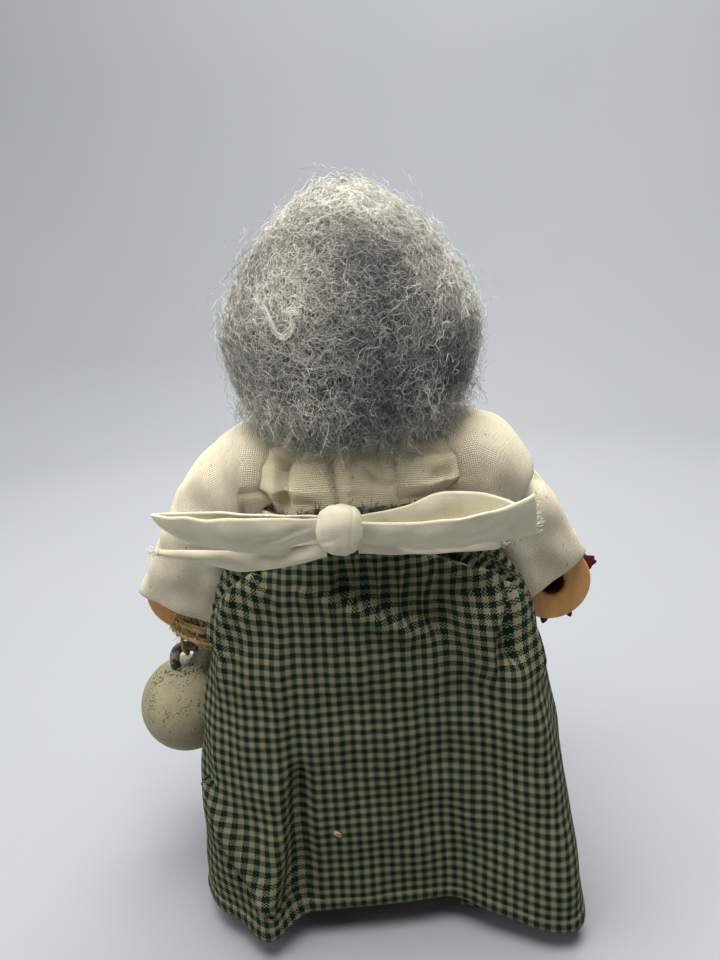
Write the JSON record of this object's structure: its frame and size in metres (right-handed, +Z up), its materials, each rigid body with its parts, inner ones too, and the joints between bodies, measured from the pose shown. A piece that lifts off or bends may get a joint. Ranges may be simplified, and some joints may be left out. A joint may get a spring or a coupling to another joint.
{
  "type": "wooden folk doll",
  "caption": "Standing folk doll on a turned wooden frame: wool wig, muslin blouse, checked skirt with a sash bow, drilled disc hands, turning head, swinging arms and a small hanging jug.",
  "frame": {"origin": "centre of the base disc's flat underside, on the surface that the doll stands on", "axes": "+Z up along the post; the doll faces -Y, its back with the bow is on +Y, its left hand with the jug is on +X"},
  "size_m": [0.1611, 0.1, 0.227],
  "materials": {
    "turned_wood": "bare sanded wood",
    "painted_wood": "satin flesh-tan paint on wood",
    "grey_wool": "loose curly wool",
    "cream_muslin": "coarse plain weave with dark flecks",
    "sleeve_muslin": "coarse plain weave, slightly greyer",
    "checked_homespun": "small green and tan woven check",
    "cream_cotton": "smooth fine cotton",
    "stuffing": "loose fibre filling",
    "jute": "hairy twine",
    "speckled_stoneware": "matte beige with dark blue speckles",
    "burgundy_cotton": "printed cotton with a pinked edge"
  },
  "bodies": {
    "doll_body": {"base_disc": "turned_wood", "body_post": "turned_wood", "shoulder_rod": "turned_wood", "neck_dowel": "turned_wood", "torso_stuffing": "stuffing", "bodice": "cream_muslin", "skirt": "checked_homespun", "waist_sash": "cream_cotton", "bow_knot": "cream_cotton", "bow_loop_left": "cream_cotton", "bow_loop_right": "cream_cotton", "bow_tail_left": "cream_cotton", "bow_tail_right": "cream_cotton"},
    "head": {"head_ball": "painted_wood", "hair_wig": "grey_wool"},
    "arm_left": {"arm_stick_left": "turned_wood", "arm_stuffing_left": "stuffing", "sleeve_left": "sleeve_muslin", "hand_left": "painted_wood"},
    "arm_right": {"arm_stick_right": "turned_wood", "arm_stuffing_right": "stuffing", "sleeve_right": "sleeve_muslin", "hand_right": "painted_wood", "pinked_cloth": "burgundy_cotton"},
    "twine": {"twine_tie": "jute"},
    "jug": {"jug": "speckled_stoneware"}
  },
  "joints": [
    {"name": "head_turn", "type": "hinge", "parent": "doll_body", "child": "head", "pos_m": [0, 0, 0.188], "axis": [0, 0, 1], "range_deg": [-30, 30]},
    {"name": "shoulder_left", "type": "hinge", "parent": "doll_body", "child": "arm_left", "pos_m": [0.0378, 0, 0.144], "axis": [-1, 0, 0], "range_deg": [-5, 75]},
    {"name": "shoulder_right", "type": "hinge", "parent": "doll_body", "child": "arm_right", "pos_m": [-0.0378, 0, 0.144], "axis": [-1, 0, 0], "range_deg": [-5, 75]},
    {"name": "twine_swing", "type": "hinge", "parent": "arm_left", "child": "twine", "pos_m": [0.0605, -0.006, 0.1012], "axis": [0, 1, 0], "range_deg": [-40, 0]},
    {"name": "jug_swing", "type": "hinge", "parent": "twine", "child": "jug", "pos_m": [0.0632, -0.006, 0.0808], "axis": [1, 0, 0], "range_deg": [-20, 20]}
  ]
}
